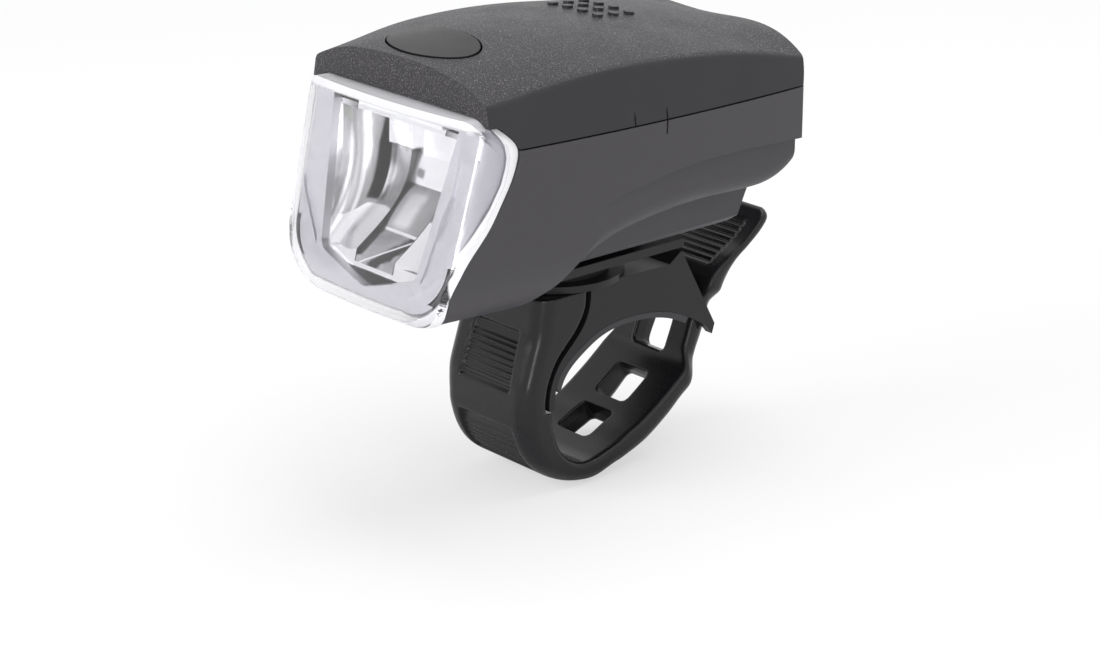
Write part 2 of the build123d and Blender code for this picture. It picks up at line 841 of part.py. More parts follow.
# Outlines around the handlebar as (y, z) shares of the saddle's crown height
# Underside of the saddle, rear toe to front leg, the leg's front and the rear channel's floor
saddle_under_shares = [
    (0.8967, 0.6413), (0.7880, 0.7500), (0.6250, 0.8478), (0.4674, 0.9239), (0.2826, 0.9755),
    (0.0815, 1.0000), (-0.1440, 1.0000), (-0.3533, 0.9565), (-0.5435, 0.8641), (-0.6902, 0.7609),
    (-0.7880, 0.5924), (-0.8043, 0.4185),
]
leg_front_shares = [
    (-0.8587, 0.4185), (-0.8424, 0.6087), (-0.7391, 0.8043), (-0.5978, 0.9402), (-0.4728, 1.1033),
    (-0.4348, 1.2446), (-0.4348, 1.3587),
]
saddle_rear_shares = [
    (0.4076, 1.3424), (0.5380, 1.4293), (0.9239, 0.7255),
]
channel_floor_shares = [
    (0.6739, 0.5435), (0.7120, 0.6522), (0.8750, 1.1359), (1.0870, 1.2826), (2.1739, 1.2826),
    (2.1739, 0.5435),
]
tongue_shares = [
    (-0.4076, 1.0543), (-0.7065, 1.0543), (-0.7391, 1.1630), (-0.7065, 1.2717), (-0.4076, 1.2717),
]


def ring_points(shares):
    """Points around the handlebar from shares of the saddle's crown height."""
    return [(y * saddle_crown, z * saddle_crown) for y, z in shares]


saddle_under = ring_points(saddle_under_shares)
leg_front = ring_points(leg_front_shares)


def make_bracket_saddle():
    top = Polyline(leg_front[-1], *ring_points(saddle_rear_shares), saddle_under[0])
    tip = Line(saddle_under[-1], leg_front[0])
    body = smooth_prism([top, Spline(*saddle_under), tip, Spline(*leg_front)], bracket_half)
    flange = (bracket_top - flange_height / 2, bracket_top + flange_height / 2)
    body = body + rod_z(flange_radius, flange, 0, swivel_y)
    body = body + rod_z(boss_radius, (bracket_top, boss_top), 0, swivel_y)
    body = body - side_prism(ring_points(channel_floor_shares), bracket_half - cheek)
    body = body + block((-peg_half, peg_half), (peg_root, peg_tip), (peg_bottom, peg_top))
    body = body + side_prism(ring_points(tongue_shares), tongue_half)
    bore_low = plate_top + pivot_seat - pivot_length
    body = body - rod_z(pivot_radius, (bore_low, boss_top + wall), 0, swivel_y)
    return single(body - rod_x(pin_radius, overrun, pin_y, pin_z))


def make_saddle_liner():
    """The rubber layer under the saddle that lies on the handlebar."""
    outer = saddle_under[2:-1]
    inner = [(y * (1 - liner_thickness / bar_radius), z - liner_thickness) for y, z in outer]
    outer = [(y * (1 - screw_slack / bar_radius), z - screw_slack) for y, z in outer]
    inner.reverse()
    outline = [Spline(*outer), Line(outer[-1], inner[0]), Spline(*inner), Line(inner[-1], outer[0])]
    return smooth_prism(outline, bracket_half)


def make_strap_pin():
    return rod_x(pin_radius, pin_length, pin_y, pin_z)


# The strap's outer and inner lines, from its root over the band to its tail, in the same shares
root_outer_shares = [
    (-0.9239, 1.3533), (-0.9620, 1.0462), (-1.0489, 0.7853), (-1.0978, 0.6250), (-1.1087, 0.4565),
    (-1.1005, 0.2935), (-1.0435, 0.1033), (-0.8913, -0.0870), (-0.6413, -0.2500), (-0.3342, -0.3071),
]
root_inner_shares = [
    (-0.3342, -0.1060), (-0.4891, -0.1141), (-0.6739, -0.0109), (-0.7826, 0.1739), (-0.8098, 0.3913),
]
leg_clear_shares = [
    (-0.8750, 0.4022), (-0.8614, 0.6087), (-0.7609, 0.8152), (-0.6141, 0.9565), (-0.4891, 1.1087),
    (-0.4511, 1.2446), (-0.4511, 1.3533),
]
tongue_clear_shares = [
    (-0.3804, 1.0380), (-0.7174, 1.0380), (-0.7554, 1.1630), (-0.7174, 1.2880), (-0.3804, 1.2880),
]
band_outer_shares = [
    (-0.3179, -0.3071), (-0.1739, -0.2663), (-0.0326, -0.2337), (0.2174, -0.1467), (0.4565, 0.0000),
    (0.6033, 0.1250), (0.7511, 0.2130),
]
band_inner_shares = [
    (0.6234, 0.4033), (0.3533, 0.2011), (0.1087, 0.0516), (-0.1359, -0.0522), (-0.3179, -0.1033),
]
tail_outer_shares = [
    (0.7652, 0.2217), (0.8533, 0.3913), (0.9402, 0.6196), (1.0326, 0.8967), (1.1114, 1.0543),
    (1.2011, 1.1902), (1.3370, 1.2935), (1.5000, 1.4130), (1.5598, 1.5000), (1.5543, 1.5489),
]
tail_inner_shares = [
    (1.5163, 1.5707), (1.4674, 1.5543), (1.3696, 1.4402), (1.2337, 1.3288), (1.1141, 1.2663),
    (0.8995, 1.1304), (0.7337, 0.6467), (0.6375, 0.4120),
]
# Windows: place of the middle on the inner line, lean in degrees, share of the window length
band_window_shares = [(0.0217, -0.0190, -66, 1.00), (0.4457, 0.2527, -52, 1.00)]
tail_window_shares = [(0.7772, 0.5815, -18, 0.80), (0.8886, 0.9592, -18, 1.00)]


def cut_windows(body, window_shares):
    """Cuts the windows through a stretch of the strap."""
    for y, z, lean, share in window_shares:
        tool = Box(2 * window_half, strap_half, share * window_length)
        body = body - Pos(0, y * saddle_crown, z * saddle_crown) * Rot(lean, 0, 0) * tool
    return body


def make_strap_root():
    outer = ring_points(root_outer_shares)
    inner = ring_points(root_inner_shares)
    leg = ring_points(leg_clear_shares)
    outline = [Spline(*outer), Line(outer[-1], inner[0]), Spline(*inner), Line(inner[-1], leg[0]),
               Spline(*leg), Line(leg[-1], outer[0])]
    body = smooth_prism(outline, strap_half)
    body = body - side_prism(ring_points(tongue_clear_shares), tongue_half + clearance)
    body = body - rod_z(flange_radius + clearance, (bracket_top - flange_height, overrun), 0, swivel_y)
    return single(body - rod_x(pin_radius, overrun, pin_y, pin_z))


def make_strap_band():
    outer = ring_points(band_outer_shares)
    inner = ring_points(band_inner_shares)
    outline = [Spline(*outer), Line(outer[-1], inner[0]), Spline(*inner), Line(inner[-1], outer[0])]
    return single(cut_windows(smooth_prism(outline, strap_half), band_window_shares))


def make_strap_tail():
    outer = ring_points(tail_outer_shares)
    inner = ring_points(tail_inner_shares)
    outline = [Spline(*outer), Line(outer[-1], inner[0]), Spline(*inner[0:5]), Polyline(*inner[4:]),
               Line(inner[-1], outer[0])]
    body = smooth_prism(outline, strap_half)
    for side in (-1, 1):
        reach = sorted((side * strap_narrow_half, side * overrun))
        body = body - block(reach, (0, overrun), (narrow_low, narrow_high))
    return single(cut_windows(body, tail_window_shares))


def save(node, shape):
    """Writes one piece under its node's name."""
    export_step(shape, "parts/" + node + ".step")


os.makedirs("parts", exist_ok=True)
save("lower_housing", make_lower_housing())
save("lens_cover", make_lens_cover())
save("lens_gasket", make_lens_gasket())
save("bezel", make_bezel())
save("reflector", make_reflector())
save("led_emitter", make_led_emitter())
save("led_board", make_led_board())
save("heat_sink", make_heat_sink())
save("battery_tray", make_battery_tray())
save("main_board", make_main_board())
save("housing_screws", make_housing_screws())
for number, place in enumerate(cell_places()):
    save("battery_cell_" + str(number + 1), make_battery_cell(place))
save("front_contacts", make_front_contacts())
save("rear_springs", make_rear_springs())
save("top_cover", make_top_cover())
save("button_membrane", make_button_membrane())
save("switch_board", make_switch_board())
save("tact_switch", make_tact_switch())
save("power_button", make_power_button())
save("rail_plate", make_rail_plate())
save("swivel_washer", make_swivel_washer())
save("swivel_screw", make_swivel_screw())
save("bracket_saddle", make_bracket_saddle())
save("saddle_liner", make_saddle_liner())
save("strap_pin", make_strap_pin())
save("strap_root", make_strap_root())
save("strap_band", make_strap_band())
save("strap_tail", make_strap_tail())
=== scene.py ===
import math

import bmesh
import bpy
from mathutils import Matrix, Vector


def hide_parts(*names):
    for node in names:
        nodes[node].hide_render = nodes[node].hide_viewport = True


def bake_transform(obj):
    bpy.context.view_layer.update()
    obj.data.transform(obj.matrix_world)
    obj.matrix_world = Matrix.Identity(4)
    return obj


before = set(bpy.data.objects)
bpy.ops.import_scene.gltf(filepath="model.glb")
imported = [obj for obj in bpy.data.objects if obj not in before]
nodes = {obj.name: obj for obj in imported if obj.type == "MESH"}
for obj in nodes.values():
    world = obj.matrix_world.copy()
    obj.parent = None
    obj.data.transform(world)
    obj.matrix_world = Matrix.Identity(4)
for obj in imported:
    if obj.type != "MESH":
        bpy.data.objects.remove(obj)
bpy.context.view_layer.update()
MM = 0.001
WHITE = (1.0, 1.0, 1.0, 1.0)


# Shader helpers
def new_material(name):
    """An empty node material with its output, as (material, tree, output)."""
    material = bpy.data.materials.new(name)
    material.use_nodes = True
    tree = material.node_tree
    tree.nodes.clear()
    output = tree.nodes.new("ShaderNodeOutputMaterial")
    return material, tree, output


def grain(tree, place, size, detail=2.0):
    """Noise over a place, with grains about so many millimetres across."""
    node = tree.nodes.new("ShaderNodeTexNoise")
    node.inputs["Scale"].default_value = 1.0 / (size * MM)
    node.inputs["Detail"].default_value = detail
    tree.links.new(place, node.inputs["Vector"])
    return node.outputs["Fac"]


def ramp(tree, source, low, high, start, end):
    """Maps a value from low..high to start..end."""
    node = tree.nodes.new("ShaderNodeMapRange")
    node.inputs["From Min"].default_value = low
    node.inputs["From Max"].default_value = high
    node.inputs["To Min"].default_value = start
    node.inputs["To Max"].default_value = end
    tree.links.new(source, node.inputs["Value"])
    return node.outputs["Result"]


def shade(tree, source, dark, light):
    """A colour between two colours, by a value from 0 to 1."""
    node = tree.nodes.new("ShaderNodeMix")
    node.data_type = "RGBA"
    node.inputs[6].default_value = (*dark, 1.0)
    node.inputs[7].default_value = (*light, 1.0)
    tree.links.new(source, node.inputs[0])
    return node.outputs[2]


def bump_node(tree, height, depth, strength):
    """A bump of so many millimetres."""
    node = tree.nodes.new("ShaderNodeBump")
    node.inputs["Strength"].default_value = strength
    node.inputs["Distance"].default_value = depth * MM
    tree.links.new(height, node.inputs["Height"])
    return node


def grey(value, tint=0.0):
    """A grey, leaning to violet for a positive tint and to yellow green for a negative one."""
    return (value, value * (1 - tint), value * (1 + tint))


class Field:
    """A value that varies over a surface, built up with plain arithmetic."""

    def __init__(self, tree, socket):
        self.tree = tree
        self.socket = socket

    def join(self, operation, other=None):
        node = self.tree.nodes.new("ShaderNodeMath")
        node.operation = operation
        self.tree.links.new(self.socket, node.inputs[0])
        if isinstance(other, Field):
            self.tree.links.new(other.socket, node.inputs[1])
        elif other is not None:
            node.inputs[1].default_value = other
        return Field(self.tree, node.outputs[0])

    def __add__(self, other):
        return self.join("ADD", other)

    def __sub__(self, other):
        return self.join("SUBTRACT", other)

    def __mul__(self, other):
        return self.join("MULTIPLY", other)

    def most(self, other):
        """The larger of two values."""
        return self.join("MAXIMUM", other)

    def size(self):
        """The value without its sign."""
        return self.join("ABSOLUTE")

    def rise(self, low, high):
        """0 below low and 1 above high, or the other way round where low is the larger."""
        node = self.tree.nodes.new("ShaderNodeMapRange")
        node.interpolation_type = "SMOOTHSTEP"
        falling = low > high
        node.inputs["From Min"].default_value = min(low, high)
        node.inputs["From Max"].default_value = max(low, high)
        node.inputs["To Min"].default_value = 1.0 if falling else 0.0
        node.inputs["To Max"].default_value = 0.0 if falling else 1.0
        self.tree.links.new(self.socket, node.inputs["Value"])
        return Field(self.tree, node.outputs["Result"])

    def within(self, low, high, soft=0.12):
        """1 between low and high."""
        return self.rise(low - soft, low + soft) * self.rise(high + soft, high - soft)

    def without(self, mask):
        """This value, and 0 where the mask is 1."""
        return self * (mask * -1.0 + 1.0)

    def towards(self, goal, mask):
        """This value, replaced by a goal where the mask is 1."""
        return self + (self * -1.0 + goal) * mask

    def painted(self, across, band, mask=None):
        """This value with a band painted in, given as (from, to, softness, tone) across a field."""
        low, high, soft, tone = band
        cover = across.within(low, high, soft)
        if mask is not None:
            cover = cover * mask
        return self.towards(tone, cover)


def fields(tree):
    """The place on the object in millimetres, as three fields, and as it comes from Blender."""
    place = tree.nodes.new("ShaderNodeTexCoord").outputs["Object"]
    split = tree.nodes.new("ShaderNodeSeparateXYZ")
    tree.links.new(place, split.inputs[0])
    return [Field(tree, split.outputs[axis]) * (1 / MM) for axis in "XYZ"] + [place]


# Plastic and rubber: sizes in millimetres, and how far the cloudy noise changes tone and gloss
NOISE_RANGE = (0.3, 0.7)
CLOUD_SIZE = 6.0
CLOUD_DETAIL = 3.0
CLOUD_SHARE = 0.6
TONE_SPREAD = 0.14
GLOSS_SPREAD = 0.05
FINE_STRENGTH = 0.55
COARSE_DETAIL = 3.0
# How far sideways a face may look, where the coarse grain ends and where it is full
CROWN_SLOPES = (0.84, 0.6)
# Where the coarse grain turns into pale specks, a painted sparkle
SPECK_RANGE = (0.57, 0.68)


def coarse_crown(tree, texture, coarse, tint, colour, bump):
    """Adds a coarse grain to faces that don't look sideways, with pale specks painted in as the grain's
    sparkle, as (colour, bump).
    """
    size, depth, pale = coarse
    big = grain(tree, texture.outputs["Object"], size, COARSE_DETAIL)
    split = tree.nodes.new("ShaderNodeSeparateXYZ")
    tree.links.new(texture.outputs["Normal"], split.inputs[0])
    sideways = Field(tree, split.outputs["X"]).size()
    crown = ramp(tree, sideways.socket, *CROWN_SLOPES, 0.0, 1.0)
    second = bump_node(tree, big, depth, 1.0)
    tree.links.new(crown, second.inputs["Strength"])
    tree.links.new(bump.outputs["Normal"], second.inputs["Normal"])
    speck = Field(tree, ramp(tree, big, *SPECK_RANGE, 0.0, 1.0)) * Field(tree, crown)
    lighter = tree.nodes.new("ShaderNodeMix")
    lighter.data_type = "RGBA"
    tree.links.new(speck.socket, lighter.inputs[0])
    tree.links.new(colour, lighter.inputs[6])
    lighter.inputs[7].default_value = (*grey(pale, tint), 1.0)
    return lighter.outputs[2], second


def moulded(name, tone, rough, fine, relief, coarse=None, tint=0.06, specular=0.5):
    """Moulded plastic or rubber with cloudy tone and gloss, and a fine and perhaps a coarse grain, the
    coarse one with painted sparkle.
    """
    material, tree, output = new_material(name)
    texture = tree.nodes.new("ShaderNodeTexCoord")
    place = texture.outputs["Object"]
    small = grain(tree, place, fine)
    cloud = grain(tree, place, CLOUD_SIZE, CLOUD_DETAIL)
    mixed = tree.nodes.new("ShaderNodeMath")
    mixed.operation = "MULTIPLY_ADD"
    mixed.inputs[1].default_value = CLOUD_SHARE
    tree.links.new(cloud, mixed.inputs[0])
    tree.links.new(ramp(tree, small, 0.0, 1.0, 0.0, 1 - CLOUD_SHARE), mixed.inputs[2])
    darker = grey(tone * (1 - TONE_SPREAD), tint)
    lighter = grey(tone * (1 + TONE_SPREAD), tint)
    colour = shade(tree, mixed.outputs["Value"], darker, lighter)
    gloss = ramp(tree, cloud, *NOISE_RANGE, rough - GLOSS_SPREAD, rough + GLOSS_SPREAD)
    bump = bump_node(tree, small, relief, FINE_STRENGTH)
    if coarse:
        colour, bump = coarse_crown(tree, texture, coarse, tint, colour, bump)
    surface = tree.nodes.new("ShaderNodeBsdfPrincipled")
    surface.inputs["Specular IOR Level"].default_value = specular
    tree.links.new(colour, surface.inputs["Base Color"])
    tree.links.new(gloss, surface.inputs["Roughness"])
    tree.links.new(bump.outputs["Normal"], surface.inputs["Normal"])
    tree.links.new(surface.outputs["BSDF"], output.inputs["Surface"])
    return material


# Metal: shares of its colour and its roughness at the two ends of a streak's noise
STREAK_DETAIL = 3.0
STREAK_STRENGTH = 0.4
STREAK_TONE_SHARE = 0.93
STREAK_ROUGH_SHARES = (0.8, 1.25)


def metal(name, colour, rough, scratch, stretch, relief):
    """Metal or a metal coat with drawn streaks and a cloudy gloss."""
    material, tree, output = new_material(name)
    texture = tree.nodes.new("ShaderNodeTexCoord")
    mapping = tree.nodes.new("ShaderNodeMapping")
    mapping.inputs["Scale"].default_value = stretch
    tree.links.new(texture.outputs["Object"], mapping.inputs["Vector"])
    streak = grain(tree, mapping.outputs["Vector"], scratch, STREAK_DETAIL)
    surface = tree.nodes.new("ShaderNodeBsdfPrincipled")
    surface.inputs["Metallic"].default_value = 1.0
    dark = tuple(part * STREAK_TONE_SHARE for part in colour)
    tree.links.new(shade(tree, streak, dark, colour), surface.inputs["Base Color"])
    smoother, rougher = [rough * share for share in STREAK_ROUGH_SHARES]
    tree.links.new(ramp(tree, streak, *NOISE_RANGE, smoother, rougher), surface.inputs["Roughness"])
    bump = bump_node(tree, streak, relief, STREAK_STRENGTH)
    tree.links.new(bump.outputs["Normal"], surface.inputs["Normal"])
    tree.links.new(surface.outputs["BSDF"], output.inputs["Surface"])
    return material


# The lens's rear edge seen from the side, to within about 0.3 mm, top to bottom, as (y, z) in millimetres
RIM_LINE = [
    (-33.9, 55.6), (-32.1, 54.1), (-31.0, 52.3), (-30.65, 50.6), (-30.8, 49.2), (-31.5, 47.0), (-33.3, 44.0),
    (-35.6, 41.0), (-37.9, 38.0), (-39.5, 35.4), (-40.3, 33.4), (-40.5, 32.0), (-40.3, 29.9), (-39.5, 27.0),
    (-39.4, 25.5),
]
# Distances from that edge between which the lens turns pale, with painted rim light
RIM_FADE = (-1.25, -1.05)
# The lens's front face leans: its place at height 0, and how far it moves back per millimetre of height
FRONT_START = -50.4
FRONT_LEAN = 0.262
# The clear front wall ends between these distances behind that face, and between these from the middle
FRONT_WALL_FADE = (1.75, 1.45)
FRONT_SIDE_FADE = (17.7, 17.4)
# Heights between which the lens's top turns partly pale, with painted rim light
TOP_FADE = (54.4, 54.8)
TOP_PALENESS = 0.6

LENS_IOR = 1.45
LENS_TONES = ((0.88, 0.88, 0.9), (0.93, 0.93, 0.945))
LENS_ROUGHNESS = (0.0, 0.03)
RIPPLE_SIZE = 9.0
RIPPLE_DETAIL = 1.0
# The pale parts: painted light carried along the clear rim, with a weak painted glow
PALE_COLOUR = (0.86, 0.855, 0.875, 1.0)
PALE_ROUGHNESS = 0.2
PALE_GLOW = 0.06
SHADOW_COLOUR = (0.93, 0.935, 0.945, 1.0)


def rim_place(z):
    """Where the lens's rear edge lies along the lamp at a height, as a field in millimetres."""
    line = RIM_LINE[0][0]
    for (high_y, high_z), (low_y, low_z) in zip(RIM_LINE, RIM_LINE[1:]):
        step = ramp(z.tree, z.socket, low_z, high_z, low_y - high_y, 0.0)
        line = Field(z.tree, step) + line
    return line


def pale_lens_parts(x, y, z):
    """Where the lens is painted pale with a weak glow, a painted stand-in for light carried along its clear
    rim: at its rear edge, and partly along its top.
    """
    behind_front = y + (z * -FRONT_LEAN - FRONT_START)
    front_wall = behind_front.rise(*FRONT_WALL_FADE) * x.size().rise(*FRONT_SIDE_FADE)
    rear_edge = (y - rim_place(z)).rise(*RIM_FADE).without(front_wall)
    return rear_edge.most(z.rise(*TOP_FADE) * TOP_PALENESS)


def clear_plastic(name):
    """Clear moulded plastic, painted pale and weakly glowing at its rear edge and along its top as painted
    rim light, that lets the lamps' light through.
    """
    material, tree, output = new_material(name)
    x, y, z, place = fields(tree)
    ripple = grain(tree, place, RIPPLE_SIZE, RIPPLE_DETAIL)
    surface = tree.nodes.new("ShaderNodeBsdfPrincipled")
    surface.inputs["Transmission Weight"].default_value = 1.0
    surface.inputs["IOR"].default_value = LENS_IOR
    tree.links.new(shade(tree, ripple, *LENS_TONES), surface.inputs["Base Color"])
    tree.links.new(ramp(tree, ripple, *NOISE_RANGE, *LENS_ROUGHNESS), surface.inputs["Roughness"])
    pale = tree.nodes.new("ShaderNodeBsdfPrincipled")
    pale.inputs["Base Color"].default_value = PALE_COLOUR
    pale.inputs["Roughness"].default_value = PALE_ROUGHNESS
    pale.inputs["Emission Color"].default_value = WHITE
    pale.inputs["Emission Strength"].default_value = PALE_GLOW
    painted_rim_light = tree.nodes.new("ShaderNodeMixShader")
    tree.links.new(pale_lens_parts(x, y, z).socket, painted_rim_light.inputs["Fac"])
    tree.links.new(surface.outputs["BSDF"], painted_rim_light.inputs[1])
    tree.links.new(pale.outputs["BSDF"], painted_rim_light.inputs[2])
    through = tree.nodes.new("ShaderNodeBsdfTransparent")
    through.inputs["Color"].default_value = SHADOW_COLOUR
    path = tree.nodes.new("ShaderNodeLightPath")
    mix = tree.nodes.new("ShaderNodeMixShader")
    tree.links.new(path.outputs["Is Shadow Ray"], mix.inputs["Fac"])
    tree.links.new(painted_rim_light.outputs["Shader"], mix.inputs[1])
    tree.links.new(through.outputs["BSDF"], mix.inputs[2])
    tree.links.new(mix.outputs["Shader"], output.inputs["Surface"])
    return material


# The mirror's tones are reflections and shade painted into its colour. They run from 0 to 1, its places are
# in millimetres, and a fade is a pair of places
MIRROR_CLOUD_SIZE = 1.6
MIRROR_CLOUD_DETAIL = 3.0
WOBBLE = 0.9
# Side lobes with painted reflections, whose stripes lean by the height from the lobe's middle. A band is
# (from, to, softness, tone), and heights are (from, to, softness) or (from, to)
LOBE_TONE = 0.32
LOBE_CLOUD = 0.06
LOBE_LIGHTER = 0.34
LOBE_LIGHTER_FADE = (9.5, 12.0)
LOBE_MIDDLE = 46.0
STRIPE_LEAN = -0.1
STRIPE_FOOT_FADE = (38.6, 39.0)
DARK_STRIPE = (8.2, 10.2, 0.25, 0.0)
GREY_STRIPE = (7.3, 8.1, 0.25, 0.16)
STREAK_LEAN = 0.17
BRIGHT_STREAK = (11.35, 11.75, 0.12, 0.95)
GREY_STREAK = (11.85, 12.2, 0.15, 0.62)
BRIGHT_SIDE_FADE = (12.2, 12.4)
BRIGHT_SIDE_TONE = 0.9
PATCH_TONE = 0.98
LOW_PATCH_FADE = (38.5, 38.2)
LOW_PATCH_DROP = 1.6
LOW_PATCH_DROP_FADE = (8.6, 10.6)
LOW_PATCH_WOBBLE = 0.6
# Middle channel with painted reflections, and a painted bright patch above it that reaches past both of its
# sides
CHANNEL_FADE = (4.2, 4.0)
CHANNEL_TONE = 0.42
CHANNEL_CLOUD = 0.1
CHANNEL_SLOPE = -0.03
# A bright band in the channel, a painted reflection
BRIGHT_REFLECTION = (-2.8, 0.6, 0.9, 0.85)
BRIGHT_REFLECTION_HEIGHTS = (36.6, 40.8, 0.6)
BELOW_RUNG_FADE = (36.1, 36.0)
LOW_FACET_FADE = (-2.5, 0.5)
LOW_FACET_TONE = 0.5
DARK_CORNER = (0.2, 2.6, 0.4, 0.04)
DARK_CORNER_HEIGHTS = (31.5, 36.0)
DARK_CORNER_MIDDLE = 34.0
DARK_CORNER_LEAN = -1.1
DARK_CORNER_WOBBLE = 2.0
UPPER_FACET_FADE = (41.7, 41.9)
UPPER_FACET_TONE = 0.97
SMALL_MARK = (-3.3, -1.7, 0.3, 0.3)
SMALL_MARK_HEIGHTS = (42.5, 43.6, 0.3)
LOWER_RUNG_HEIGHTS = (35.95, 36.3, 0.08)
UPPER_RUNG_HEIGHTS = (41.55, 41.9, 0.08)
DIAGONAL_FOOT = 33.9
DIAGONAL_LEAN = 1.9
DIAGONAL = (-0.28, 0.28, 0.1)
TOP_PATCH_FADE = (46.2, 46.4)
TOP_PATCH_MIDDLE = 45.0
TOP_PATCH_LEAN = 0.1
TOP_PATCH_SIDE_FADE = (8.8, 8.6)
DIVIDER = (4.0, 4.22, 0.05, 0.05)
DIVIDER_TOP_FADE = (46.2, 46.0)
# Along the mirror's foot: painted shade, and a painted bright ridge above it
FOOT_SHADE_FADE = (31.7, 31.4)
FOOT_SHADE_TONE = 0.035
FOOT_RIDGE = (31.6, 32.2, 0.1, 1.0)
MIRROR_TINT = {"Red": 0.995, "Green": 0.99, "Blue": 1.0}
MIRROR_ROUGHNESS = (0.18, 0.26)
MIRROR_RELIEF = 0.004
MIRROR_STRENGTH = 0.3


def side_lobes(side, z, cloud, wobble):
    """Painted reflections on the mirror's two side lobes: grey with stripes, a bright edge and a bright
    patch below.
    """
    tone = (cloud * LOBE_CLOUD + LOBE_TONE) + side.rise(*LOBE_LIGHTER_FADE) * LOBE_LIGHTER
    leaning = side - (z - LOBE_MIDDLE).size() * STRIPE_LEAN
    above_foot = z.rise(*STRIPE_FOOT_FADE)
    tone = tone.painted(leaning, DARK_STRIPE, above_foot)
    tone = tone.painted(leaning, GREY_STRIPE, above_foot)
    outer = side - (z - LOBE_MIDDLE) * STREAK_LEAN
    tone = tone.painted(outer, BRIGHT_STREAK)
    tone = tone.painted(outer, GREY_STREAK)
    tone = tone.towards(BRIGHT_SIDE_TONE, outer.rise(*BRIGHT_SIDE_FADE))
    low_place = z + side.rise(*LOW_PATCH_DROP_FADE) * LOW_PATCH_DROP + wobble * LOW_PATCH_WOBBLE
    return tone.towards(PATCH_TONE, low_place.rise(*LOW_PATCH_FADE))


def middle_channel(x, z, cloud, wobble):
    """Painted reflections on the mirror's middle channel, facet by facet from the bottom, with bright lines
    between.
    """
    facet = (cloud * CHANNEL_CLOUD + CHANNEL_TONE) + (x * CHANNEL_SLOPE)
    facet = facet.painted(x + wobble, BRIGHT_REFLECTION, z.within(*BRIGHT_REFLECTION_HEIGHTS))
    below_rung = z.rise(*BELOW_RUNG_FADE)
    facet = facet.towards(LOW_FACET_TONE, below_rung * x.rise(*LOW_FACET_FADE))
    corner = x + (z - DARK_CORNER_MIDDLE) * DARK_CORNER_LEAN + wobble * DARK_CORNER_WOBBLE
    facet = facet.painted(corner, DARK_CORNER, z.within(*DARK_CORNER_HEIGHTS))
    facet = facet.towards(UPPER_FACET_TONE, z.rise(*UPPER_FACET_FADE))
    facet = facet.painted(x, SMALL_MARK, (z + wobble).within(*SMALL_MARK_HEIGHTS))
    rungs = z.within(*LOWER_RUNG_HEIGHTS).most(z.within(*UPPER_RUNG_HEIGHTS))
    diagonal = ((z - DIAGONAL_FOOT) * DIAGONAL_LEAN - x).within(*DIAGONAL) * below_rung
    return facet.towards(1.0, rungs.most(diagonal))


def mirror_coat(name):
    """Bright mirror of a faceted reflector, with reflections painted into its colour as darker and brighter
    stripes and patches between its facets, and painted shade along its foot.
    """
    material, tree, output = new_material(name)
    x, _, z, place = fields(tree)
    side = x.size()
    cloud = Field(tree, grain(tree, place, MIRROR_CLOUD_SIZE, MIRROR_CLOUD_DETAIL))
    wobble = (cloud - 0.5) * WOBBLE
    tone = side_lobes(side, z, cloud, wobble)
    tone = tone.towards(middle_channel(x, z, cloud, wobble), side.rise(*CHANNEL_FADE))
    patch_side = (side - (z - TOP_PATCH_MIDDLE) * TOP_PATCH_LEAN).rise(*TOP_PATCH_SIDE_FADE)
    tone = tone.towards(PATCH_TONE, z.rise(*TOP_PATCH_FADE) * patch_side)
    tone = tone.painted(side, DIVIDER, z.rise(*DIVIDER_TOP_FADE))
    tone = tone.towards(FOOT_SHADE_TONE, z.rise(*FOOT_SHADE_FADE))
    tone = tone.painted(z, FOOT_RIDGE)
    colour = tree.nodes.new("ShaderNodeCombineColor")
    for part, factor in MIRROR_TINT.items():
        tree.links.new((tone * factor).socket, colour.inputs[part])
    surface = tree.nodes.new("ShaderNodeBsdfPrincipled")
    surface.inputs["Metallic"].default_value = 1.0
    tree.links.new(colour.outputs["Color"], surface.inputs["Base Color"])
    tree.links.new(ramp(tree, cloud.socket, *NOISE_RANGE, *MIRROR_ROUGHNESS), surface.inputs["Roughness"])
    bump = bump_node(tree, cloud.socket, MIRROR_RELIEF, MIRROR_STRENGTH)
    tree.links.new(bump.outputs["Normal"], surface.inputs["Normal"])
    tree.links.new(surface.outputs["BSDF"], output.inputs["Surface"])
    return material


# Materials: name, tone or colour, roughness, then size and height of the grain or streaks in millimetres,
# with the streaks' stretch between. A coarse grain is its size, its height and the tone of its specks, which
# are painted sparkle
cover_mat = moulded("cover_plastic", 0.028, 0.42, 0.12, 0.006, coarse=(0.19, 0.2, 0.24), specular=0.3)
housing_mat = moulded("housing_plastic", 0.05, 0.5, 0.12, 0.006, specular=0.4)
bracket_mat = moulded("bracket_plastic", 0.012, 0.4, 0.1, 0.005, tint=0.07, specular=0.3)
strap_mat = moulded("strap_rubber", 0.011, 0.27, 0.14, 0.006, tint=0.07, specular=0.3)
seal_mat = moulded("seal_rubber", 0.03, 0.6, 0.12, 0.008)
button_mat = moulded("button_smoke", 0.014, 0.36, 0.5, 0.008, tint=0.06, specular=0.25)
bezel_mat = metal("bezel_satin", (0.62, 0.61, 0.64), 0.36, 0.35, (1, 1, 0.12), 0.004)
white_mat = moulded("board_white", 0.8, 0.5, 0.2, 0.003, tint=0.0)
green_mat = moulded("board_green", 0.1, 0.45, 0.2, 0.003)
tray_mat = moulded("tray_plastic", 0.1, 0.5, 0.15, 0.006)
switch_mat = moulded("switch_body", 0.03, 0.5, 0.15, 0.006)
lens_mat = clear_plastic("lens_clear")
mirror_mat = mirror_coat("mirror_coat")
steel_mat = metal("screw_steel", (0.55, 0.55, 0.57), 0.3, 0.3, (1, 1, 6), 0.004)
can_mat = metal("cell_can", (0.5, 0.5, 0.53), 0.35, 0.4, (1, 12, 1), 0.004)
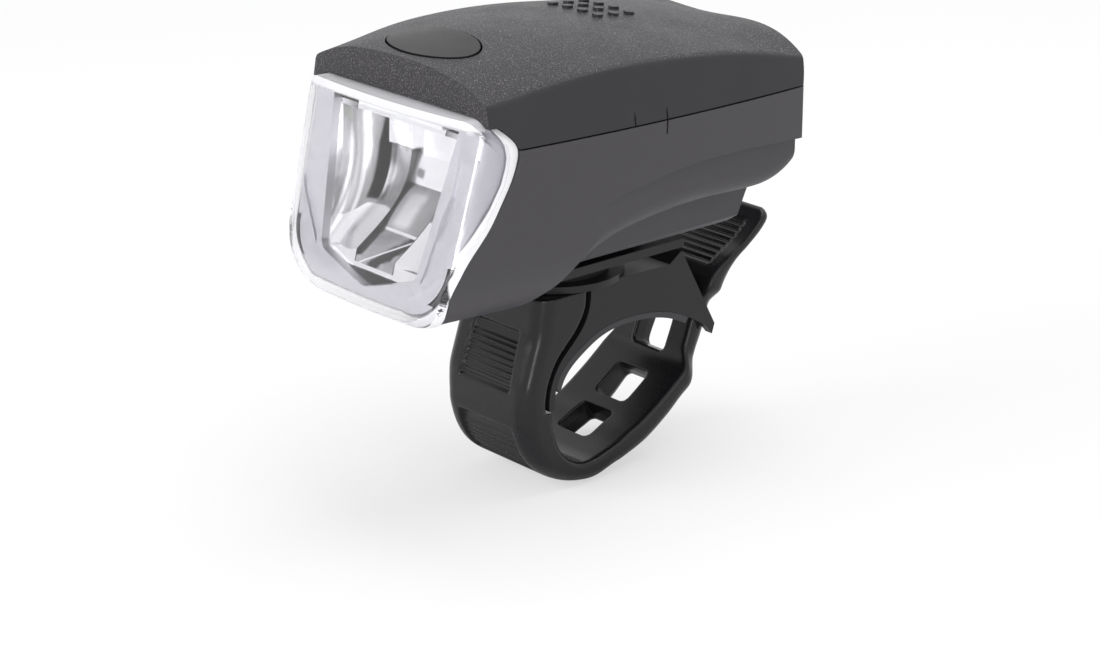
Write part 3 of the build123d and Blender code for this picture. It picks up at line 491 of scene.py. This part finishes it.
contact_mat = metal("contact_metal", (0.8, 0.8, 0.78), 0.2, 0.3, (1, 1, 6), 0.003)
sink_mat = metal("sink_aluminium", (0.75, 0.75, 0.77), 0.35, 0.3, (8, 1, 1), 0.004)
led_mat = moulded("led_chip", 0.8, 0.3, 0.3, 0.002, tint=-0.25)

finishes = {
    cover_mat: ["top_cover"],
    housing_mat: ["lower_housing"],
    bracket_mat: ["bracket_saddle", "rail_plate"],
    seal_mat: ["saddle_liner", "lens_gasket", "button_membrane"],
    button_mat: ["power_button"],
    bezel_mat: ["bezel"],
    lens_mat: ["lens_cover"],
    mirror_mat: ["reflector"],
    steel_mat: ["housing_screws", "swivel_screw", "strap_pin"],
    can_mat: ["battery_cell_1", "battery_cell_2", "battery_cell_3"],
    contact_mat: ["front_contacts", "rear_springs"],
    sink_mat: ["heat_sink"],
    white_mat: ["led_board"],
    green_mat: ["main_board", "switch_board"],
    tray_mat: ["battery_tray", "swivel_washer"],
    switch_mat: ["tact_switch"],
    led_mat: ["led_emitter"],
}
for material, names in finishes.items():
    for name in names:
        nodes[name].data.materials.clear()
        nodes[name].data.materials.append(material)


# Rubber strap, with all its sizes in millimetres
STRAP_HALF = 9.3
NARROW_HALF = 7.6
NARROW_LOWER_FADE = (6.8, 10.4)
NARROW_UPPER_FADE = (17.0, 19.6)
TAIL_START = 5.0
OUTER_ROUND = 2.6
OUTER_ROUND_SHARE = 0.62
INNER_ROUND = 0.9
INNER_ROUND_SHARE = 0.25
END_ROUND = 2.6
# The tail's end (y, z) on the inner face, and the way there
END_PLACE = (28.5, 28.6)
END_WAY = (0.72, 0.69)
STATION_STEP = 0.18
COLUMNS = 52
OUTER_STEPS = 8
INNER_STEPS = 4
LINE_STEPS = 24
NEARLY_ZERO = 1e-9
# Stretches of the strap as pairs of outer and inner points (y, z) around the handlebar
LEG_STRETCH = [
    ((-17.0, 24.4), (-8.3, 24.4)), ((-17.35, 22.0), (-8.6, 21.6)), ((-17.8, 19.0), (-10.2, 18.9)),
    ((-18.6, 16.6), (-12.2, 16.9)), ((-19.3, 14.45), (-14.0, 15.0)), ((-20.2, 11.5), (-15.4, 12.3)),
    ((-20.4, 9.4), (-16.0, 9.8)), ((-20.4, 7.9), (-16.1, 7.4)),
]
LOOP_STRETCH = [
    ((-20.38, 7.7), (-14.9, 7.2)), ((-20.25, 5.4), (-14.75, 5.0)), ((-19.2, 1.9), (-14.0, 2.4)),
    ((-17.5, -0.9), (-12.9, 0.4)), ((-14.9, -3.1), (-11.3, -1.1)), ((-11.8, -4.6), (-9.3, -2.05)),
    ((-8.6, -5.4), (-7.2, -2.15)), ((-6.0, -5.65), (-5.2, -1.75)), ((-3.2, -4.9), (-2.5, -0.96)),
    ((-0.6, -4.3), (-0.2, 0.1)), ((4.0, -2.7), (2.6, 1.3)), ((8.4, 0.0), (6.5, 3.7)),
    ((11.1, 2.3), (9.2, 5.6)), ((13.6, 4.05), (11.5, 7.5)), ((15.2, 6.6), (12.5, 9.6)),
    ((16.1, 8.8), (13.3, 11.6)), ((17.3, 11.4), (14.0, 13.6)), ((19.0, 16.5), (15.6, 18.2)),
    ((20.45, 19.4), (16.9, 21.0)), ((22.1, 21.9), (19.6, 22.9)), ((24.6, 23.8), (22.6, 24.5)),
    ((27.0, 25.5), (25.0, 26.4)), ((28.5, 27.2), (26.6, 27.9)), ((28.75, 28.0), (27.4, 28.7)),
    ((28.5, 28.6), (28.0, 28.85)),
]


def smooth_line(points, per):
    """A smooth line through points, with so many steps from one to the next, by Catmull and Rom."""
    ends = [2 * points[0] - points[1]] + points + [2 * points[-1] - points[-2]]
    line = []
    for i in range(1, len(ends) - 2):
        a, b, c, d = ends[i - 1:i + 3]
        for k in range(per):
            t = k / per
            squared = (2 * a - 5 * b + 4 * c - d) * t * t
            cubed = (3 * b - a - 3 * c + d) * t ** 3
            line.append(0.5 * (2 * b + (c - a) * t + squared + cubed))
    line.append(points[-1])
    return line


def even(pairs, step):
    """Stations at even steps of a stretch's middle line, as (outer y, outer z, inner y, inner z)."""
    dense = smooth_line([Vector((*outer, *inner)) for outer, inner in pairs], LINE_STEPS)
    middle = [Vector(((p[0] + p[2]) / 2, (p[1] + p[3]) / 2)) for p in dense]
    run = [0.0]
    for a, b in zip(middle, middle[1:]):
        run.append(run[-1] + (b - a).length)
    count = max(2, round(run[-1] / step))
    stations = []
    k = 0
    for n in range(count + 1):
        goal = run[-1] * n / count
        while k < len(run) - 2 and run[k + 1] < goal:
            k += 1
        share = (goal - run[k]) / max(run[k + 1] - run[k], NEARLY_ZERO)
        stations.append(dense[k].lerp(dense[k + 1], min(1.0, share)))
    return stations


def smooth(x, low, high):
    """0 below low, 1 above high, and a smooth step between them."""
    t = min(1.0, max(0.0, (x - low) / (high - low)))
    return t * t * (3 - 2 * t)


def half_width(z, y):
    """The strap is narrower where its tail passes between the bracket's cheeks, and rounded at its end."""
    if y < TAIL_START:
        return STRAP_HALF
    inside = smooth(z, *NARROW_LOWER_FADE) * (1 - smooth(z, *NARROW_UPPER_FADE))
    ahead = (END_PLACE[0] - y) * END_WAY[0] + (END_PLACE[1] - z) * END_WAY[1]
    to_end = max(0.0, min(END_ROUND, ahead))
    corner = END_ROUND - math.sqrt(END_ROUND ** 2 - (END_ROUND - to_end) ** 2)
    return STRAP_HALF + (NARROW_HALF - STRAP_HALF) * inside - corner


# Ribbed pads in the outer face: (first z, last z, half-width at each). Fades start from a pad's edges
PADS = [(19.2, 10.4, 4.9, 5.6), (5.2, -2.2, 5.8, 6.3)]
PAD_REAR = -8.0
PAD_DEPTH = 0.75
PAD_SIDE_FADE = (-0.15, 0.25)
PAD_END_FADE = (-0.1, 0.45)
RIB_PITCH = 0.92
RIB_HEIGHT = 0.42
RIB_SIDE_FADE = (0.1, 0.5)
RIB_TOP_FADE = (1.9, 2.1)
RIB_LOW_FADE = (0.6, 0.8)
# Grip ribs on the tab's inner face
TAB_HALF = 6.9
TAB_SIDE_FADE = (0.0, 0.4)
TAB_START_FADE = (17.6, 18.0)
TAB_END_FADE = (25.6, 26.0)
TAB_PITCH = 1.15
TAB_DEPTH = 0.55
TAB_RIB_HEIGHT = 0.5


def ridge(along, pitch):
    """1 at the top of a rib and 0 in the groove between two."""
    return 0.5 + 0.5 * math.cos(2 * math.pi * along / pitch)


def pad_depth(x, y, z, along_pad):
    """How far a ribbed pad lies below the strap's outer face, its ribs standing out again."""
    if y > PAD_REAR:
        return 0.0
    depth = 0.0
    for top, low, top_half, low_half in PADS:
        share = min(1.0, max(0.0, (top - z) / (top - low)))
        side = top_half + (low_half - top_half) * share - abs(x)
        under = top - z
        over = z - low
        within = smooth(side, *PAD_SIDE_FADE) * smooth(under, *PAD_END_FADE) * smooth(over, *PAD_END_FADE)
        ribbed = smooth(side, *RIB_SIDE_FADE) * smooth(under, *RIB_TOP_FADE) * smooth(over, *RIB_LOW_FADE)
        depth = max(depth, within * (PAD_DEPTH - RIB_HEIGHT * ribbed * ridge(along_pad, RIB_PITCH)))
    return depth


def tab_relief(x, y, along_tab):
    """Grip ribs across the tab's inner face, with a smooth lip at its end and sides."""
    across = smooth(TAB_HALF - abs(x), *TAB_SIDE_FADE)
    within = across * smooth(y, *TAB_START_FADE) * (1 - smooth(y, *TAB_END_FADE))
    return within * (TAB_DEPTH - TAB_RIB_HEIGHT * ridge(along_tab, TAB_PITCH))


def strap_section(station, run):
    """Points around the strap at one station: outer face, round side, inner face, round side."""
    outer = Vector((0, station[0], station[1]))
    inner = Vector((0, station[2], station[3]))
    thick = (inner - outer).length
    half = half_width(inner.z, inner.y)
    big = min(OUTER_ROUND, thick * OUTER_ROUND_SHARE)
    small = min(INNER_ROUND, thick * INNER_ROUND_SHARE)
    flat = half - big
    inner_flat = half - small
    loop = []
    for k in range(COLUMNS + 1):
        x = flat - 2 * flat * k / COLUMNS
        loop.append((x, pad_depth(x, outer.y, outer.z, run)))
    for k in range(1, OUTER_STEPS + 1):
        a = math.pi / 2 * k / OUTER_STEPS
        loop.append((-flat - big * math.sin(a), big * (1 - math.cos(a))))
    for k in range(0, INNER_STEPS + 1):
        a = math.pi / 2 * k / INNER_STEPS
        loop.append((-inner_flat - small * math.cos(a), thick - small + small * math.sin(a)))
    for k in range(1, COLUMNS):
        x = -inner_flat + 2 * inner_flat * k / COLUMNS
        loop.append((x, thick - tab_relief(x, inner.y, run)))
    for k in range(0, INNER_STEPS + 1):
        a = math.pi / 2 * (1 - k / INNER_STEPS)
        loop.append((inner_flat + small * math.cos(a), thick - small + small * math.sin(a)))
    for k in range(OUTER_STEPS, 0, -1):
        a = math.pi / 2 * k / OUTER_STEPS
        loop.append((flat + big * math.sin(a), big * (1 - math.cos(a))))
    through = (inner - outer) / thick
    return [(Vector((x, 0, 0)) + outer + through * d) * MM for x, d in loop]


def mesh_object(name, bm, rings):
    """Joins rings of vertices to a closed mesh, in an object of its own."""
    for low, high in zip(rings, rings[1:]):
        for k in range(len(low)):
            n = (k + 1) % len(low)
            bm.faces.new((low[k], low[n], high[n], high[k]))
    bm.faces.new(rings[0][::-1])
    bm.faces.new(rings[-1])
    bmesh.ops.recalc_face_normals(bm, faces=bm.faces)
    mesh = bpy.data.meshes.new(name)
    bm.to_mesh(mesh)
    bm.free()
    made = bpy.data.objects.new(name, mesh)
    bpy.context.scene.collection.objects.link(made)
    return made


# Windows: middle (y, z), lean in degrees, half-length. A cutter widens a little from its middle to its
# waists, and more from there to both of its ends
WINDOWS = [
    ((0.1, -1.6), -66, 3.0), ((7.7, 2.8), -52, 3.0), ((15.0, 10.2), -23, 2.7), ((17.0, 17.0), -18, 3.0),
]
WINDOW_HALF = 3.15
WINDOW_CORNER = 0.9
WINDOW_DEPTH = 3.2
WINDOW_FLARE = 0.9
WAIST_SHARE = 0.55
WAIST_FLARE = 0.12
CORNER_STEPS = 6


def window_cutter(centre, lean, half_long):
    """A cutter for a window: a rounded oblong that widens towards both of its ends."""
    bm = bmesh.new()
    turn = Matrix.Rotation(math.radians(lean), 3, "X")
    waist = WAIST_SHARE * WINDOW_DEPTH
    levels = [(0.0, 0.0), (waist, WAIST_FLARE), (WINDOW_DEPTH, WINDOW_FLARE)]
    mirrored = [(-level, grow) for level, grow in levels[:0:-1]]
    rings = []
    for level, grow in mirrored + levels:
        ring = []
        for corner in range(4):
            cx = (WINDOW_HALF + grow - WINDOW_CORNER) * (1 if corner in (0, 3) else -1)
            cz = (half_long + grow - WINDOW_CORNER) * (1 if corner in (0, 1) else -1)
            for k in range(CORNER_STEPS + 1):
                a = math.pi / 2 * (corner + k / CORNER_STEPS)
                p = Vector((cx + WINDOW_CORNER * math.cos(a), level, cz + WINDOW_CORNER * math.sin(a)))
                ring.append(bm.verts.new((turn @ p + centre) * MM))
        rings.append(ring)
    return mesh_object("cutter", bm, rings)


def apply_modifiers(obj):
    """Replaces the object's mesh with its evaluated one."""
    graph = bpy.context.evaluated_depsgraph_get()
    mesh = bpy.data.meshes.new_from_object(obj.evaluated_get(graph))
    obj.modifiers.clear()
    obj.data = mesh


# The ribs' pitch runs along the outer face up to here, and along the inner face from there on. The
# longer step from one face to the other isn't counted
INNER_RUN_START = 10.0
LONGEST_RUN_STEP = 2.0
SOFTEN_VOXEL = 0.17
SOFTEN_FACTOR = 0.5
SOFTEN_ROUNDS = 2


def make_strap():
    """The whole strap as one closed mesh, windows cut and every edge softened."""
    bm = bmesh.new()
    sections = []
    run = 0.0
    before = None
    for station in even(LEG_STRETCH, STATION_STEP) + even(LOOP_STRETCH, STATION_STEP):
        outer = Vector((station[0], station[1]))
        place = outer if station[0] < INNER_RUN_START else Vector((station[2], station[3]))
        if before is not None and (place - before).length < LONGEST_RUN_STEP:
            run += (place - before).length
        before = place
        sections.append([bm.verts.new(p) for p in strap_section(station, run)])
    strap = mesh_object("strap", bm, sections)
    cutters = []
    for (y, z), lean, half_long in WINDOWS:
        cutter = window_cutter(Vector((0, y, z)), lean, half_long)
        cut = strap.modifiers.new("window", "BOOLEAN")
        cut.operation = "DIFFERENCE"
        cut.solver = "EXACT"
        cut.object = cutter
        cutters.append(cutter)
    remesh = strap.modifiers.new("soften", "REMESH")
    remesh.mode = "VOXEL"
    remesh.voxel_size = SOFTEN_VOXEL * MM
    remesh.use_smooth_shade = True
    even_out = strap.modifiers.new("even", "SMOOTH")
    even_out.factor = SOFTEN_FACTOR
    even_out.iterations = SOFTEN_ROUNDS
    apply_modifiers(strap)
    for cutter in cutters:
        bpy.data.objects.remove(cutter)
    return strap


def half_of(source, name, point, normal):
    """The side of a mesh that lies behind a plane, closed at the cut."""
    bm = bmesh.new()
    bm.from_mesh(source.data)
    everything = bm.verts[:] + bm.edges[:] + bm.faces[:]
    cut = bmesh.ops.bisect_plane(bm, geom=everything, plane_co=point, plane_no=normal, clear_outer=True)
    rim = [e for e in cut["geom_cut"] if isinstance(e, bmesh.types.BMEdge)]
    for edge in rim:
        edge.smooth = False
    bmesh.ops.holes_fill(bm, edges=rim, sides=0)
    for face in bm.faces:
        face.smooth = True
    mesh = bpy.data.meshes.new(name)
    bm.to_mesh(mesh)
    bm.free()
    piece = bpy.data.objects.new(name, mesh)
    bpy.context.scene.collection.objects.link(piece)
    piece.data.materials.append(strap_mat)
    return piece


# The plane where the strap's two pieces meet
SEAM = Vector((0, 4.0, 0.0)) * MM
SEAM_NORMAL = Vector((0, 1, 0))

strap = make_strap()
strap_front = half_of(strap, "strap_front", SEAM, SEAM_NORMAL)
strap_rear = half_of(strap, "strap_rear", SEAM, -SEAM_NORMAL)
bpy.data.objects.remove(strap)
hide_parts("strap_root", "strap_band")
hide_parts("strap_tail")
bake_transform(strap_front)
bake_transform(strap_rear)


# Floor, lamps and world: places and sizes in metres, powers in watts, the floor's clouds in millimetres
FLOOR_HEIGHT = -0.00575
FLOOR_HALF = 3.0
FLOOR_SEGMENTS = 8
FLOOR_CLOUD_SIZE = 400.0
FLOOR_TONES = ((0.93, 0.93, 0.935), (0.95, 0.95, 0.955))
# How much of the floor that the camera sees is plain white
FLOOR_WHITENESS = 0.58
WORLD_SEEN = 1.0
WORLD_LIGHT = 0.42
LAMP_AIM = (0, 0, 0.04)
LOW_AIM = (0, 0, 0.03)


def make_floor():
    """A wide flat pale floor, seen nearly white where no shadow falls."""
    material, tree, output = new_material("floor_paint")
    texture = tree.nodes.new("ShaderNodeTexCoord")
    cloud = grain(tree, texture.outputs["Object"], FLOOR_CLOUD_SIZE)
    surface = tree.nodes.new("ShaderNodeBsdfDiffuse")
    tree.links.new(shade(tree, cloud, *FLOOR_TONES), surface.inputs["Color"])
    glow = tree.nodes.new("ShaderNodeEmission")
    glow.inputs["Color"].default_value = WHITE
    glow.inputs["Strength"].default_value = 1.0
    path = tree.nodes.new("ShaderNodeLightPath")
    seen = Field(tree, path.outputs["Is Camera Ray"]) * FLOOR_WHITENESS
    mix = tree.nodes.new("ShaderNodeMixShader")
    tree.links.new(seen.socket, mix.inputs["Fac"])
    tree.links.new(surface.outputs["BSDF"], mix.inputs[1])
    tree.links.new(glow.outputs["Emission"], mix.inputs[2])
    tree.links.new(mix.outputs["Shader"], output.inputs["Surface"])
    bm = bmesh.new()
    bmesh.ops.create_grid(bm, x_segments=FLOOR_SEGMENTS, y_segments=FLOOR_SEGMENTS, size=FLOOR_HALF)
    mesh = bpy.data.meshes.new("floor")
    bm.to_mesh(mesh)
    bm.free()
    floor = bpy.data.objects.new("floor", mesh)
    bpy.context.scene.collection.objects.link(floor)
    floor.data.transform(Matrix.Translation((0, 0, FLOOR_HEIGHT)))
    floor.data.materials.append(material)


def softbox(name, place, aim, size, power):
    """A soft studio lamp that faces a point."""
    data = bpy.data.lights.new(name, "AREA")
    data.shape = "RECTANGLE"
    data.size, data.size_y = size
    data.energy = power
    lamp = bpy.data.objects.new(name, data)
    bpy.context.scene.collection.objects.link(lamp)
    lamp.location = place
    lamp.rotation_mode = "QUATERNION"
    lamp.rotation_quaternion = (Vector(aim) - Vector(place)).to_track_quat("-Z", "Y")


def make_world():
    """White where it is seen, mirrored or seen through glass, and a softer light on the object."""
    world = bpy.data.worlds.new("studio")
    bpy.context.scene.world = world
    world.use_nodes = True
    tree = world.node_tree
    tree.nodes.clear()
    output = tree.nodes.new("ShaderNodeOutputWorld")
    back = tree.nodes.new("ShaderNodeBackground")
    back.inputs["Color"].default_value = WHITE
    path = tree.nodes.new("ShaderNodeLightPath")
    seen = Field(tree, path.outputs["Is Camera Ray"])
    for ray in ("Is Transmission Ray", "Is Glossy Ray"):
        seen = seen.most(Field(tree, path.outputs[ray]))
    tree.links.new(ramp(tree, seen.socket, 0.0, 1.0, WORLD_LIGHT, WORLD_SEEN), back.inputs["Strength"])
    tree.links.new(back.outputs["Background"], output.inputs["Surface"])


# The photograph's camera: angles in degrees, its place in metres, its focal length and shift in pixels
PHOTO_WIDTH = 1100
CAMERA_AZIMUTH = 48.65
CAMERA_ELEVATION = 19.33
CAMERA_PLACE = (0.273997, -0.249074, 0.148894)
FOCAL_PIXELS = 2665.9
SHIFT_PIXELS = (1.92, -28.5)
SENSOR_WIDTH = 36.0
NEAREST_SEEN = 0.01


def make_camera():
    """The photograph's camera."""
    azimuth = math.radians(CAMERA_AZIMUTH)
    elevation = math.radians(CAMERA_ELEVATION)
    right = Vector((math.cos(azimuth), math.sin(azimuth), 0))
    forward = Vector((-math.sin(azimuth), math.cos(azimuth), 0))
    up = forward * math.sin(elevation) + Vector((0, 0, math.cos(elevation)))
    back = right.cross(up)
    data = bpy.data.cameras.new("camera")
    data.sensor_width = SENSOR_WIDTH
    data.lens = SENSOR_WIDTH * FOCAL_PIXELS / PHOTO_WIDTH
    data.shift_x = SHIFT_PIXELS[0] / PHOTO_WIDTH
    data.shift_y = SHIFT_PIXELS[1] / PHOTO_WIDTH
    data.clip_start = NEAREST_SEEN
    data.dof.use_dof = False
    camera = bpy.data.objects.new("camera", data)
    bpy.context.scene.collection.objects.link(camera)
    turn = Matrix((right, up, back)).transposed()
    camera.matrix_world = Matrix.Translation(CAMERA_PLACE) @ turn.to_4x4()
    bpy.context.scene.camera = camera


make_floor()
make_world()
softbox("over", (0.05, 0.2, 0.75), LAMP_AIM, (0.7, 0.7), 3.7)
softbox("left", (-0.22, -0.75, 0.42), LAMP_AIM, (0.6, 0.4), 3.8)
softbox("right", (0.75, -0.05, 0.35), LAMP_AIM, (0.5, 0.6), 0.9)
softbox("front", (0.55, -0.6, 0.1), LOW_AIM, (0.12, 0.3), 1.0)
make_camera()
bpy.context.scene.view_settings.view_transform = "Standard"
